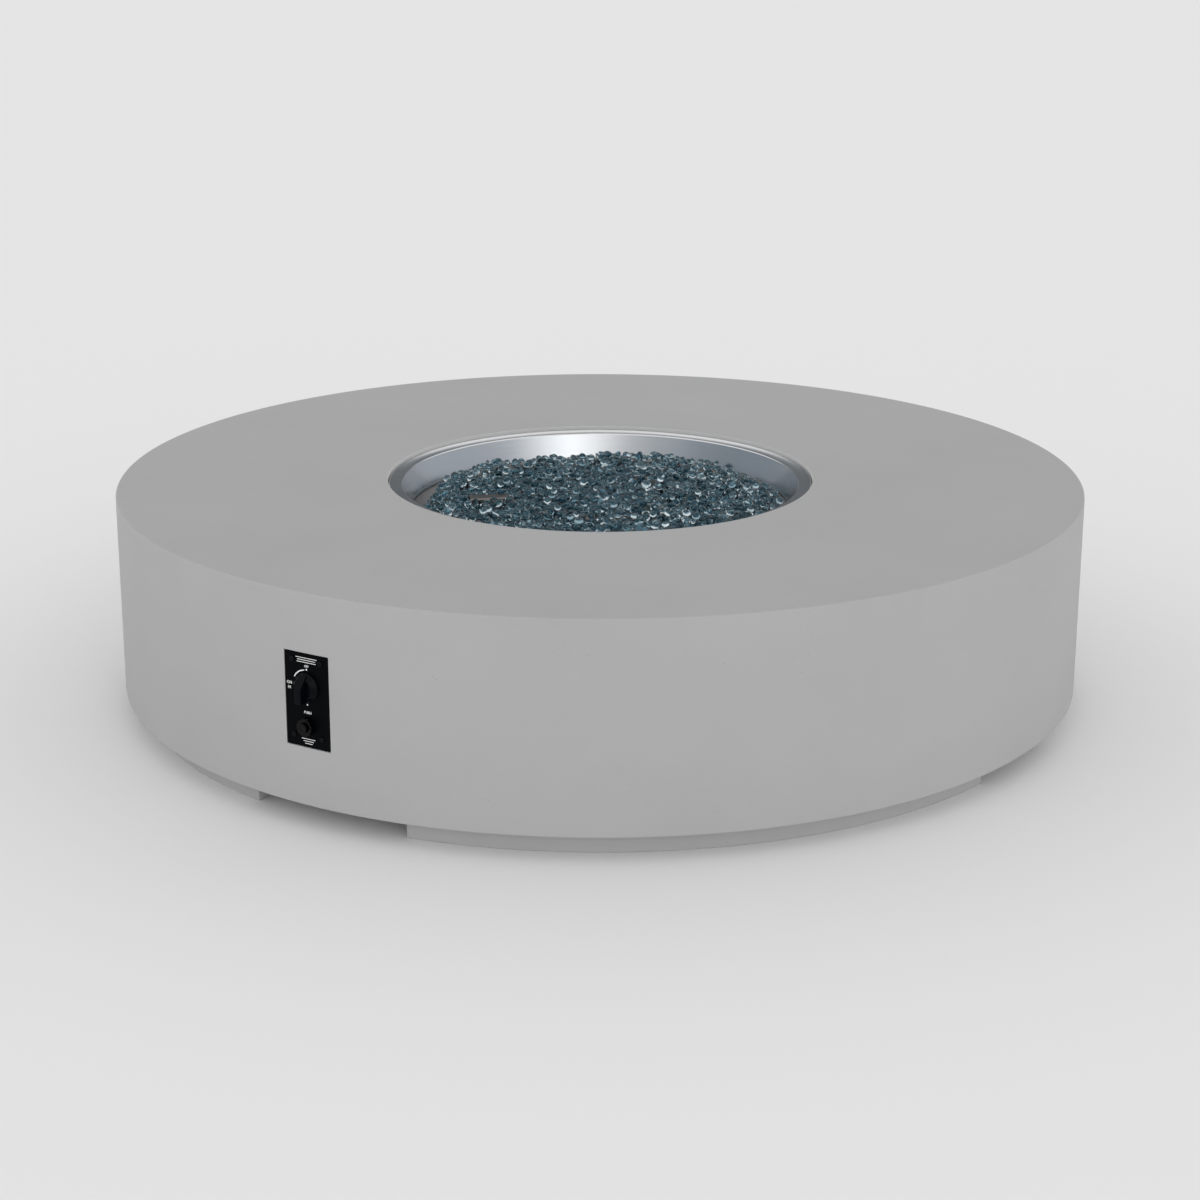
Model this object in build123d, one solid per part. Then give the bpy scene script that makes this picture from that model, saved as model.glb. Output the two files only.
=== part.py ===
from build123d import *
from build123d.topology import SkipClean
import math
import os

# Round concrete gas fire pit, in millimetres.
# The origin is on the ground under the middle of the drum, +Z is up and the control panel faces -Y.

# Drum
drum_radius = 838.0
overall_height = 381.0
drum_wall = 28.0
top_slab = 40.0
base_flange = 32.0
base_flange_width = 93.0
drum_arris = 3.0
drum_inner_fillet = 12.0

# Plinth feet
foot_height = 38.0
foot_inset = 38.0
foot_depth = 45.0
foot_arris = 1.5
front_slot_width = 287.0
side_slot_width = 220.0
bolts_per_foot = 3
bolt_radius = 4.0
bolt_head_flats = 13.0
bolt_head_height = 5.3
bolt_bite = 24.0

# Burner pan and its seat in the top
recess_radius = 372.0
recess_round = 2.0
ledge_width = 19.0
pan_edge_gap = 1.5
pan_sheet = 2.0
pan_lip_drop = 5.5
pan_lip_width = 22.5
pan_lip_dish = 4.1
pan_lip_flat_rise = 0.4
pan_lip_bend = 40.0
pan_hem = 8.0
pan_depth = 58.0
pan_wall_lean = 15.0
pan_bend = 0.5
weep_hole_radius = 4.0
weep_hole_count = 8
weep_edge_gap = 33.0

# Double-ring burner
ring_tube_radius = 9.5
spoke_tube_radius = 7.5
burner_tube_wall = 1.5
ring_edge_gap = 63.0
ring_spacing = 120.0
ring_seam = 66.0
ring_lift = 3.0
spoke_count = 4
hub_radius = 30.0
hub_rise = 1.0
leg_radius = 6.0
port_radius = 1.5
outer_port_count = 36
inner_port_count = 20
stub_radius = 10.5
stub_wall = 2.5
stub_reach = 5.0
locknut_flats = 36.0
locknut_height = 8.0

# Pilot: a folded hood over the spark electrode and the thermocouple
pilot_ring_gap = 2.5
pilot_angle = -47.2
hood_length = 70.0
hood_width = 30.0
hood_height = 28.5
hood_sheet = 1.5
probe_spacing = 34.0
probe_collar_radius = 6.5
probe_collar_height = 4.0
insulator_radius = 4.0
insulator_rise = 17.0
insulator_drop = 20.0
electrode_wire_radius = 1.2
electrode_rise = 23.0
electrode_drop = 5.0
thermocouple_radius = 2.75
thermocouple_rise = 22.0
thermocouple_drop = 18.0
probe_nut_radius = 8.0
probe_nut_height = 3.0

# Fire glass, heaped on the pan's floor
glass_edge_gap = 7.0
glass_edge_height = 12.0
glass_slope_width = 86.0
glass_shoulder_height = 28.0
glass_crown_height = 32.0
glass_blend = 60.0

# Gas feed: elbow, air mixer, orifice, tube and flare nuts
elbow_leg = 14.0
elbow_reach = 22.0
elbow_radius = 14.0
elbow_bore_radius = 8.0
mixer_radius = 15.0
mixer_wall = 2.5
mixer_length = 60.0
mixer_end = 4.0
air_slot_width = 8.0
air_slot_length = 22.0
air_slot_count = 4
fitting_flats = 19.0
fitting_hex_height = 6.0
flare_radius = 7.9
flare_length = 8.0
flare_nut_flats = 22.0
flare_nut_height = 12.0
feed_tube_radius = 6.35
feed_tube_wall = 1.0
feed_tube_bend = 22.0
orifice_radius = 1.0
orifice_spud_radius = 5.0
orifice_spud_length = 14.0

# Control panel
panel_width = 82.0
panel_height = 150.0
panel_sheet = 2.0
panel_corner = 2.0
panel_top_drop = 96.5
panel_gap = 1.0
cutout_width = 40.0
cutout_top_margin = 16.5
cutout_bottom_margin = 17.5
screw_column_spacing = 53.0
screw_top_inset = 11.7
screw_row_spacing = 121.2
screw_radius = 2.0
screw_length = 20.0
screw_head_radius = 4.0
screw_head_height = 2.2
screw_slot_width = 0.9
screw_slot_length = 4.6
screw_slot_depth = 1.1
anchor_radius = 3.0
anchor_length = 22.0

# Gas valve behind the panel
knob_drop = 53.5
valve_width = 36.0
valve_height = 38.0
valve_length = 60.0
valve_front_wall = 7.0
valve_bore_radius = 10.0
valve_edge = 2.0
bush_radius = 8.0
bush_length = 8.0
valve_nut_flats = 24.0
valve_nut_height = 4.0
end_cap_spigot = 7.5
end_cap_flats = 28.0
end_cap_head = 6.0
outlet_from_rear = 15.0
outlet_spud_radius = 6.0
outlet_bore_radius = 4.0
plug_gas_radius = 5.0
plug_wall_ahead = 6.0
stem_radius = 4.0
stem_collar_radius = 7.0
stem_collar = 3.0
stem_flat = 1.2
tongue_width = 4.0
tongue_height = 12.0
tongue_bite = 6.0
stem_spring_length = 10.0
stem_spring_radius = 7.6
stem_spring_wire = 0.6
stem_spring_turns = 4
push_travel = 3.0

# Gas inlet: elbow down to the flare thread that the supply screws on
inlet_radius = 8.5
inlet_bore_radius = 5.0
inlet_bend = 14.0
inlet_drop = 22.0
inlet_thread_radius = 7.94
inlet_thread_length = 14.0
inlet_flange_clear = 20.0

# Thermocouple port on the valve's side
port_nut_radius = 5.0
port_nut_length = 10.0

# Knob
knob_radius = 23.0
knob_height = 20.2
knob_stand_off = 3.8
knob_skirt_height = 8.0
knob_top_radius = 16.5
knob_grip_width = 13.0
knob_grip_draft = 2.0
knob_slope_start = 2.0
knob_nose_height = 5.0
knob_edge = 1.0
knob_cavity_radius = 16.0
knob_cavity_depth = 6.4
knob_crown = 4.0

# Push igniter under the knob
igniter_drop = 115.5
igniter_radius = 12.0
igniter_length = 60.0
igniter_rear_wall = 3.0
igniter_neck_radius = 10.0
cell_radius = 7.25
cell_length = 50.5
cell_nub_radius = 2.75
cell_nub_length = 1.0
contact_radius = 6.0
contact_plate = 1.0
contact_button_radius = 3.0
contact_height = 3.5
bezel_radius = 14.0
bezel_height = 11.0
bezel_lip = 2.0
bezel_lobe_count = 12
bezel_lobe_radius = 2.0
bezel_lobe_depth = 0.9
button_radius = 8.0
button_rise = 5.0
button_dish_depth = 0.8
button_flange = 1.6
button_flange_radius = 9.7
button_plunger_radius = 4.0
button_travel = 3.3
button_spring_radius = 6.0
button_spring_wire = 0.5
button_spring_turns = 5
terminal_radius = 3.0
terminal_length = 8.0

# Leads and their clips
ignition_lead_radius = 2.5
thermocouple_lead_radius = 1.5
clip_wall = 1.2
clip_width = 8.0
clip_count = 3
clip_spacing = 140.0
clip_from_outlet = 170.0
lead_bend = 60.0

# Clearances
running_fit = 0.05
slip_fit = 0.1
bolt_clearance = 0.3
seat_gap = 0.2
stop_gap = 0.3
glass_clearance = 0.5
sheet_hole_clearance = 0.4

# Heights worked out from the top and the ground
foot_outer_radius = drum_radius - foot_inset
foot_inner_radius = foot_outer_radius - foot_depth
flange_inner_radius = drum_radius - base_flange_width
flange_top = foot_height + base_flange
slab_underside = overall_height - top_slab
bolt_circle_radius = foot_outer_radius - foot_depth / 2
ledge_z = overall_height - pan_lip_drop - pan_hem
ledge_inner_radius = recess_radius - ledge_width
lip_outer_radius = recess_radius - pan_edge_gap
lip_inner_radius = lip_outer_radius - pan_lip_width
pan_floor_radius = lip_inner_radius - pan_wall_lean
pan_floor = overall_height - pan_depth
pan_underside = pan_floor - pan_sheet
weep_circle_radius = pan_floor_radius - weep_edge_gap
outer_ring_radius = pan_floor_radius - ring_edge_gap
inner_ring_radius = outer_ring_radius - ring_spacing
ring_rise = ring_lift + ring_tube_radius
ring_z = pan_floor + ring_rise
hub_height = ring_rise + ring_tube_radius + hub_rise
hub_top = pan_floor + hub_height
pilot_radius = inner_ring_radius + ring_tube_radius + pilot_ring_gap + hood_length / 2
glass_edge_radius = pan_floor_radius - glass_edge_gap
glass_shoulder_radius = glass_edge_radius - glass_slope_width
feed_z = pan_underside - locknut_height - elbow_leg

# Places behind the panel
panel_face = -math.sqrt(drum_radius**2 - (panel_width / 2) ** 2)
panel_back = panel_face + panel_sheet
panel_top = overall_height - panel_top_drop
panel_bottom = panel_top - panel_height
screw_rows = (panel_top - screw_top_inset, panel_top - screw_top_inset - screw_row_spacing)
screw_columns = (-screw_column_spacing / 2, screw_column_spacing / 2)
screw_places = [(x, z) for x in screw_columns for z in screw_rows]
valve_z = panel_top - knob_drop
valve_rear = panel_back + valve_length
valve_bore_front = panel_back + valve_front_wall
end_cap_face = valve_rear - end_cap_spigot
end_cap_rear = valve_rear + end_cap_head
outlet_y = valve_rear - outlet_from_rear
outlet_z = valve_z + valve_height / 2
inlet_y = -(flange_inner_radius - inlet_flange_clear)
collar_front = valve_bore_front + seat_gap
collar_rear = collar_front + stem_collar
plug_front = collar_rear + stem_spring_length
plug_rear = end_cap_face - stop_gap
tongue_end = plug_front + tongue_bite
knob_back = panel_face - knob_stand_off
knob_front = knob_back - knob_height
stem_tip = knob_front + knob_crown
igniter_z = panel_top - igniter_drop
igniter_rear = panel_back + igniter_length
terminal_end = igniter_rear + terminal_length
cell_rear = igniter_rear - igniter_rear_wall - contact_height
cell_shoulder = cell_rear - cell_length + cell_nub_length
bezel_front = panel_face - bezel_height
lip_inside = bezel_front + bezel_lip
button_flange_front = lip_inside + seat_gap
button_flange_rear = button_flange_front + button_flange
neck_front = button_flange_rear + button_travel + stop_gap
plunger_end = cell_shoulder - cell_nub_length - button_travel - stop_gap
button_front = bezel_front - button_rise
clip_places = [outlet_y + clip_from_outlet + clip_spacing * i for i in range(clip_count)]
ignition_side = feed_tube_radius + clip_wall + ignition_lead_radius + slip_fit
thermocouple_under = feed_tube_radius + clip_wall + thermocouple_lead_radius + slip_fit


def around(radius, angle, z=0.0):
    """Point at an angle in degrees from the front, -Y, towards +X."""
    turn = math.radians(angle)
    return Vector(radius * math.sin(turn), -radius * math.cos(turn), z)


def bar(radius, start, end):
    run = Vector(end) - Vector(start)
    ends = (Align.CENTER, Align.CENTER, Align.MIN)
    return Plane(start, z_dir=run) * Cylinder(radius, run.length, align=ends)


def hexagon(flats, start, end):
    run = Vector(end) - Vector(start)
    return extrude(Plane(start, z_dir=run) * RegularPolygon(flats / 2, 6, major_radius=False), run.length)


def block(low, high):
    size = Vector(high) - Vector(low)
    middle = (Vector(high) + Vector(low)) / 2
    return Pos(*middle) * Box(*size)


def turned(points, radii):
    """Solid of revolution about Z from a closed outline of (radius, height) corners."""
    outline = FilletPolyline(*points, radius=radii, close=True)
    return revolve(Plane.XZ * make_face(outline), Axis.Z)


def along(path, radius):
    """Round bar swept along a path of straight runs and tangent arcs."""
    return sweep(Plane(path @ 0, z_dir=path % 0) * Circle(radius), path=path)


def spring(start, end, radius, wire, turns):
    """Open coil between two flat seats, set in from each by the wire's radius."""
    run = Vector(end) - Vector(start)
    height = run.length - 2 * wire
    coil = Helix(height / turns, height, radius)
    wire_face = Plane(coil @ 0, z_dir=coil % 0) * Circle(wire)
    return Plane(Vector(start) + run.normalized() * wire, z_dir=run) * sweep(wire_face, path=coil)


def sheet_below(points, thickness):
    """Second side of a folded sheet: each corner moved square off its two runs, to the right."""
    normals = []
    for a, b in zip(points, points[1:]):
        length = math.dist(a, b)
        normals.append(((b[1] - a[1]) / length, (a[0] - b[0]) / length))
    ends = [normals[0]] + normals + [normals[-1]]
    moved = []
    for (x, z), (ax, az), (bx, bz) in zip(points, ends, ends[1:]):
        share = thickness / (1 + ax * bx + az * bz)
        moved.append((x + share * (ax + bx), z + share * (az + bz)))
    return moved


def bolt_angles():
    """Angles of each foot's bolts, spread evenly between the slots on its two sides."""
    front_edge = math.degrees(math.asin(front_slot_width / 2 / bolt_circle_radius))
    side_edge = 90 - math.degrees(math.asin(side_slot_width / 2 / bolt_circle_radius))
    step = (side_edge - front_edge) / (bolts_per_foot + 1)
    return [front_edge + step * (i + 1) for i in range(bolts_per_foot)]


def all_bolt_angles():
    quarter = bolt_angles()
    half = quarter + [180 - angle for angle in quarter]
    return half + [-angle for angle in half]


def concrete_shell():
    corners = [
        (drum_radius, foot_height),
        (drum_radius, overall_height),
        (recess_radius, overall_height),
        (recess_radius, ledge_z),
        (ledge_inner_radius, ledge_z),
        (ledge_inner_radius, slab_underside),
        (drum_radius - drum_wall, slab_underside),
        (drum_radius - drum_wall, flange_top),
        (flange_inner_radius, flange_top),
        (flange_inner_radius, foot_height),
    ]
    bends = [drum_arris, drum_arris, recess_round, 0, 0, drum_arris, drum_inner_fillet, drum_inner_fillet,
             drum_arris, drum_arris]
    drum = turned(corners, bends)
    half_pocket = panel_width / 2 + panel_gap
    outside = -(drum_radius + panel_sheet)
    inside = -(drum_radius - 2 * drum_wall)
    drum -= block((-half_pocket, outside, panel_bottom - panel_gap),
                  (half_pocket, panel_back, panel_top + panel_gap))
    drum -= block((-cutout_width / 2, outside, panel_bottom + cutout_bottom_margin),
                  (cutout_width / 2, inside, panel_top - cutout_top_margin))
    drum -= [
        bar(anchor_radius + running_fit, (x, panel_back, z), (x, panel_back + anchor_length, z))
        for x, z in screw_places
    ]
    return drum - [
        bar(bolt_radius + bolt_clearance, around(bolt_circle_radius, angle, 0),
            around(bolt_circle_radius, angle, flange_top + bolt_head_height))
        for angle in all_bolt_angles()
    ]


def feet():
    """The plinth ring, cut into four blocks by two crossing slots."""
    plan = Circle(foot_outer_radius) - Circle(foot_inner_radius)
    plan -= Rectangle(front_slot_width, 2 * drum_radius)
    plan -= Rectangle(2 * drum_radius, side_slot_width)
    holes = [
        bar(bolt_radius + running_fit, around(bolt_circle_radius, angle, foot_height - bolt_bite),
            around(bolt_circle_radius, angle, foot_height))
        for angle in all_bolt_angles()
    ]
    names = {(True, False): "foot_front_right", (True, True): "foot_rear_right",
             (False, True): "foot_rear_left", (False, False): "foot_front_left"}
    blocks = {}
    for face in plan.faces():
        foot = extrude(face, foot_height)
        foot = chamfer(foot.faces().sort_by(Axis.Z)[0].edges(), foot_arris)
        place = foot.center()
        blocks[names[place.X > 0, place.Y > 0]] = foot - holes
    return blocks


def foot_bolts():
    bolts = []
    for angle in all_bolt_angles():
        seat = around(bolt_circle_radius, angle, flange_top)
        head = hexagon(bolt_head_flats, seat, seat + Vector(0, 0, bolt_head_height))
        shank_end = around(bolt_circle_radius, angle, foot_height - bolt_bite)
        bolts.append(head + bar(bolt_radius, shank_end, seat))
    return Compound(bolts)


def pilot_point(offset, z):
    return around(pilot_radius + offset, pilot_angle, z)


def electrode_point(z):
    return pilot_point(probe_spacing / 2, z)


def thermocouple_point(z):
    return pilot_point(-probe_spacing / 2, z)


def burner_pan():
    lip_top = overall_height - pan_lip_drop
    lip_hollow = (lip_inner_radius + pan_lip_width / 2, lip_top - pan_lip_dish + pan_lip_flat_rise)
    upper = [
        (0, pan_floor),
        (pan_floor_radius, pan_floor),
        (lip_inner_radius, lip_top - pan_lip_dish),
        lip_hollow,
        (lip_outer_radius, lip_top),
        (lip_outer_radius, ledge_z),
    ]
    lower = sheet_below(upper, pan_sheet)
    outer_bend = pan_bend + pan_sheet
    hem_bend = pan_sheet / 2
    bends = [0, pan_bend, outer_bend, pan_lip_bend, hem_bend + pan_sheet, 0]
    bends += [0, hem_bend, pan_lip_bend, pan_bend, outer_bend, 0]
    pan = turned(upper + lower[::-1], bends)
    holes = [((0, 0), stub_radius + bolt_clearance)]
    holes.append((tuple(electrode_point(0))[:2], insulator_radius + sheet_hole_clearance))
    holes.append((tuple(thermocouple_point(0))[:2], thermocouple_radius + sheet_hole_clearance))
    for i in range(weep_hole_count):
        angle = 360 / weep_hole_count * (i + 0.5)
        holes.append((tuple(around(weep_circle_radius, angle))[:2], weep_hole_radius))
    under = pan_underside - pan_sheet
    over = pan_floor + pan_sheet
    return pan - [bar(radius, (x, y, under), (x, y, over)) for (x, y), radius in holes]


def spoke_angle(place):
    return 360 / spoke_count * place


def rings_and_spokes(inset):
    """The burner's two rings and the spokes that feed them, drawn in by a wall to give their bores."""
    tubes = []
    for i in range(spoke_count):
        tip = around(outer_ring_radius, spoke_angle(i), ring_rise)
        tubes.append(bar(spoke_tube_radius - inset, (0, 0, ring_rise), tip))
    # The seam runs between the spokes' joints and the ports.
    for ring_radius in (outer_ring_radius, inner_ring_radius):
        middle = Plane.XZ * Pos(ring_radius, ring_rise) * Rot(0, 0, ring_seam)
        section = middle * Circle(ring_tube_radius - inset)
        half_ring = Rot(0, 0, spoke_angle(0.25)) * revolve(section, Axis.Z, 180)
        tubes += [half_ring, Rot(0, 0, 180) * half_ring]
    return tubes


def burner_ports():
    ports = []
    rings = ((outer_ring_radius, outer_port_count), (inner_ring_radius, inner_port_count))
    for ring_radius, count in rings:
        for i in range(count):
            start = around(ring_radius, 360 / count * (i + 0.5), ring_rise)
            ports.append(bar(port_radius, start, start + Vector(0, 0, 2 * ring_tube_radius)))
    return ports


def burner_ring():
    """The burner, made on the pan's floor and lifted to its height."""
    stub_end = -pan_sheet - locknut_height - stub_reach
    hub = bar(hub_radius, (0, 0, 0), (0, 0, hub_height))
    stub = bar(stub_radius, (0, 0, stub_end), (0, 0, 0))
    legs = []
    for i in range(spoke_count):
        foot = around(outer_ring_radius, spoke_angle(i + 0.5))
        legs.append(bar(leg_radius, foot, foot + Vector(0, 0, ring_rise)))
    bore = bar(stub_radius - stub_wall, (0, 0, stub_end), (0, 0, ring_rise))
    # The half rings' faces stay apart, because a whole ring of one face turns inside out when it is joined.
    with SkipClean():
        burner = hub + stub
        burner += rings_and_spokes(0)
        burner += legs
        burner -= rings_and_spokes(burner_tube_wall)
        burner -= bore
        burner -= burner_ports()
    return Pos(0, 0, pan_floor) * burner


def burner_locknut():
    nut = hexagon(locknut_flats, (0, 0, pan_underside - locknut_height), (0, 0, pan_underside))
    return nut - bar(stub_radius + slip_fit, (0, 0, pan_underside - locknut_height), (0, 0, pan_underside))


def glass_bed():
    """Heap of glass, trenched from below for the burner and cut round the pilot hood."""
    hub_room = hub_radius + glass_clearance
    roof = hub_top + glass_clearance
    corners = [(hub_room, pan_floor)]
    bends = [0]
    for ring_radius in (inner_ring_radius, outer_ring_radius):
        room = ring_tube_radius + glass_clearance
        trench_top = ring_z + room
        corners += [(ring_radius - room, pan_floor), (ring_radius - room, trench_top),
                    (ring_radius + room, trench_top), (ring_radius + room, pan_floor)]
        bends += [0, ring_tube_radius / 2, ring_tube_radius / 2, 0]
    corners += [
        (glass_edge_radius, pan_floor),
        (glass_edge_radius - glass_edge_height / 2, pan_floor + glass_edge_height),
        (glass_shoulder_radius, pan_floor + glass_shoulder_height),
        (0, pan_floor + glass_crown_height),
        (0, roof),
        (hub_room, roof),
    ]
    bends += [0, glass_edge_height / 3, glass_blend, 0, 0, 0]
    heap = turned(corners[::-1], bends[::-1])
    half_groove = spoke_tube_radius + glass_clearance
    groove = block((-half_groove, -outer_ring_radius, pan_floor), (half_groove, 0, ring_z + half_groove))
    half_length = hood_length / 2 + glass_clearance
    half_width = hood_width / 2 + glass_clearance
    room_over = block((-half_width, -half_length, pan_floor), (half_width, half_length, overall_height))
    heap -= [Rot(0, 0, spoke_angle(i)) * groove for i in range(spoke_count)]
    return heap - pilot_place() * room_over


def pilot_place():
    """Where the pilot hood stands, with its length along the pan's radius."""
    spot = pilot_point(0, 0)
    return Pos(spot.X, spot.Y, 0) * Rot(0, 0, pilot_angle)


def pilot_hood():
    half_length = hood_length / 2
    half_width = hood_width / 2
    hood = block((-half_width, -half_length, pan_floor), (half_width, half_length, pan_floor + hood_height))
    lengthwise = hood.edges().filter_by(Axis.Y).group_by(Axis.Z)[-1]
    hood = fillet(lengthwise, 2 * hood_sheet)
    inside = block((-half_width + hood_sheet, -half_length, pan_floor),
                   (half_width - hood_sheet, half_length, pan_floor + hood_height - hood_sheet))
    return pilot_place() * (hood - inside)


def electrode_insulator():
    body = bar(insulator_radius, electrode_point(pan_underside - insulator_drop),
               electrode_point(pan_floor + insulator_rise))
    body += bar(probe_collar_radius, electrode_point(pan_floor),
                electrode_point(pan_floor + probe_collar_height))
    bore = bar(electrode_wire_radius + running_fit, electrode_point(pan_underside - insulator_drop),
               electrode_point(pan_floor + insulator_rise))
    return body - bore


def electrode_rod():
    return bar(electrode_wire_radius, electrode_point(pan_underside - insulator_drop - electrode_drop),
               electrode_point(pan_floor + electrode_rise))


def probe_nut(point, radius):
    nut = bar(probe_nut_radius, point(pan_underside - probe_nut_height), point(pan_underside))
    return nut - bar(radius + slip_fit, point(pan_underside - probe_nut_height), point(pan_underside))


def thermocouple_probe():
    probe = bar(thermocouple_radius, thermocouple_point(pan_underside - thermocouple_drop),
                thermocouple_point(pan_floor + thermocouple_rise))
    return probe + bar(probe_collar_radius, thermocouple_point(pan_floor),
                       thermocouple_point(pan_floor + probe_collar_height))


def bent_square(radius, top):
    """Round bar from under the pan down to the feed's height, then forwards, with a ball at the corner."""
    corner = (0, 0, feed_z)
    bend = bar(radius, (0, 0, top), corner) + Pos(*corner) * Sphere(radius)
    return bend + bar(radius, corner, (0, -elbow_reach, feed_z))


def burner_elbow():
    top = pan_underside - locknut_height
    elbow = bent_square(elbow_radius, top) - bent_square(elbow_bore_radius, top)
    return elbow - bar(stub_radius + slip_fit, (0, 0, top - stub_reach), (0, 0, top))


def air_mixer():
    near = -elbow_reach
    far = near - mixer_length
    mixer = bar(mixer_radius, (0, near, feed_z), (0, far, feed_z))
    mixer -= bar(mixer_radius - mixer_wall, (0, near, feed_z), (0, far + mixer_end, feed_z))
    mixer -= bar(orifice_spud_radius + slip_fit, (0, far + mixer_end, feed_z), (0, far, feed_z))
    middle = Pos(0, (near + far) / 2, feed_z)
    for i in range(air_slot_count):
        slot = Pos(mixer_radius, 0, 0) * Box(2 * mixer_radius, air_slot_length, air_slot_width)
        mixer -= middle * Rot(0, 360 / air_slot_count * i, 0) * slot
    return mixer


def flare_fitting(seat, direction, spud_radius, spud_length, bore_radius):
    """Brass fitting with a spud into its seat, a hexagon and a flare that the tube is drawn on to."""
    spud = seat - direction * spud_length
    shoulder = seat + direction * fitting_hex_height
    tip = shoulder + direction * flare_length
    fitting = bar(spud_radius, spud, seat) + hexagon(fitting_flats, seat, shoulder)
    return fitting + bar(flare_radius, shoulder, tip) - bar(bore_radius, spud, tip)


def flare_nut(seat, direction):
    shoulder = seat + direction * fitting_hex_height
    tip = shoulder + direction * flare_length
    back = shoulder + direction * flare_nut_height
    nut = hexagon(flare_nut_flats, shoulder, back) - bar(flare_radius + slip_fit, shoulder, tip)
    return nut - bar(feed_tube_radius + slip_fit, tip, back)


outlet_seat = Vector(0, outlet_y, outlet_z)
outlet_way = Vector(0, 0, 1)
orifice_seat = Vector(0, -elbow_reach - mixer_length, feed_z)
orifice_way = Vector(0, -1, 0)


def flare_nuts():
    return Compound([flare_nut(outlet_seat, outlet_way), flare_nut(orifice_seat, orifice_way)])


def feed_tube():
    rise = fitting_hex_height + flare_length
    start = outlet_seat + outlet_way * rise
    end = orifice_seat + orifice_way * rise
    path = FilletPolyline(start, (0, outlet_y, feed_z), end, radius=feed_tube_bend)
    return along(path, feed_tube_radius) - along(path, feed_tube_radius - feed_tube_wall)


def control_panel():
    plate = RectangleRounded(panel_width, panel_height, panel_corner)
    middle = Plane((0, panel_back, (panel_top + panel_bottom) / 2), x_dir=(1, 0, 0), z_dir=(0, -1, 0))
    panel = extrude(middle * plate, panel_sheet)
    holes = [(0, valve_z, bush_radius), (0, igniter_z, igniter_neck_radius)]
    holes += [(x, z, screw_radius) for x, z in screw_places]
    return panel - [
        bar(radius + sheet_hole_clearance, (x, panel_face - panel_sheet, z), (x, panel_back, z))
        for x, z, radius in holes
    ]


def panel_screws():
    front = panel_face - screw_head_height
    screws = []
    for x, z in screw_places:
        head = bar(screw_head_radius, (x, panel_face, z), (x, front, z))
        head = fillet(head.edges().group_by(Axis.Y)[0], screw_head_height / 2)
        across = (screw_slot_length, screw_slot_width)
        for length, height in (across, across[::-1]):
            head -= block((x - length / 2, front, z - height / 2),
                          (x + length / 2, front + screw_slot_depth, z + height / 2))
        screws.append(head + bar(screw_radius, (x, panel_face, z), (x, panel_face + screw_length, z)))
    return Compound(screws)


def wall_anchors():
    anchors = []
    for x, z in screw_places:
        front = (x, panel_back, z)
        back = (x, panel_back + anchor_length, z)
        anchors.append(bar(anchor_radius, front, back) - bar(screw_radius + running_fit, front, back))
    return Compound(anchors)


def valve_body():
    half_width = valve_width / 2
    body = block((-half_width, panel_back, valve_z - valve_height / 2), (half_width, valve_rear, outlet_z))
    body = fillet(body.edges().filter_by(Axis.Y), valve_edge)
    bush_front = panel_back - bush_length
    body += bar(bush_radius, (0, panel_back, valve_z), (0, bush_front, valve_z))
    body -= bar(stem_radius + running_fit, (0, bush_front, valve_z), (0, valve_bore_front, valve_z))
    body -= bar(valve_bore_radius, (0, valve_bore_front, valve_z), (0, valve_rear, valve_z))
    return body - bar(outlet_spud_radius + slip_fit, (0, outlet_y, valve_z), (0, outlet_y, outlet_z))


def valve_locknut():
    seat = (0, panel_face, valve_z)
    front = (0, panel_face - valve_nut_height, valve_z)
    return hexagon(valve_nut_flats, seat, front) - bar(bush_radius + slip_fit, seat, front)


def valve_end_cap():
    cap = bar(valve_bore_radius - running_fit, (0, end_cap_face, valve_z), (0, valve_rear, valve_z))
    cap += hexagon(end_cap_flats, (0, valve_rear, valve_z), (0, end_cap_rear, valve_z))
    return cap - bar(inlet_bore_radius, (0, end_cap_face, valve_z), (0, end_cap_rear, valve_z))


def valve_outlet_fitting():
    spud_length = valve_height / 2 - valve_bore_radius - stop_gap
    return flare_fitting(outlet_seat, outlet_way, outlet_spud_radius, spud_length, outlet_bore_radius)


def inlet_elbow():
    thread_top = Vector(0, inlet_y, valve_z - inlet_drop)
    thread_end = thread_top - Vector(0, 0, inlet_thread_length)
    path = FilletPolyline((0, end_cap_rear, valve_z), (0, inlet_y, valve_z), thread_top, radius=inlet_bend)
    elbow = along(path, inlet_radius) + bar(inlet_thread_radius, thread_top, thread_end)
    return elbow - along(path, inlet_bore_radius) - bar(inlet_bore_radius, thread_top, thread_end)


def valve_plug():
    plug = bar(valve_bore_radius - running_fit, (0, plug_front, valve_z), (0, plug_rear, valve_z))
    slot_end = tongue_end + push_travel + stop_gap
    half_width = tongue_width / 2 + running_fit
    half_height = tongue_height / 2 + running_fit
    plug -= block((-half_width, plug_front, valve_z - half_height),
                  (half_width, slot_end, valve_z + half_height))
    plug -= bar(plug_gas_radius, (0, slot_end + plug_wall_ahead, valve_z), (0, plug_rear, valve_z))
    return plug - bar(plug_gas_radius, (0, outlet_y, valve_z), (-valve_bore_radius, outlet_y, valve_z))


def valve_stem():
    stem = bar(stem_radius, (0, stem_tip, valve_z), (0, collar_front, valve_z))
    flat_z = valve_z + stem_radius - stem_flat
    stem -= block((-stem_radius, stem_tip, flat_z),
                  (stem_radius, knob_back - knob_cavity_depth, flat_z + stem_flat))
    stem += bar(stem_collar_radius, (0, collar_front, valve_z), (0, collar_rear, valve_z))
    tongue = block((-tongue_width / 2, collar_rear, valve_z - tongue_height / 2),
                   (tongue_width / 2, tongue_end, valve_z + tongue_height / 2))
    return stem + tongue


def stem_spring():
    return spring((0, collar_rear, valve_z), (0, plug_front, valve_z), stem_spring_radius, stem_spring_wire,
                  stem_spring_turns)


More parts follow.
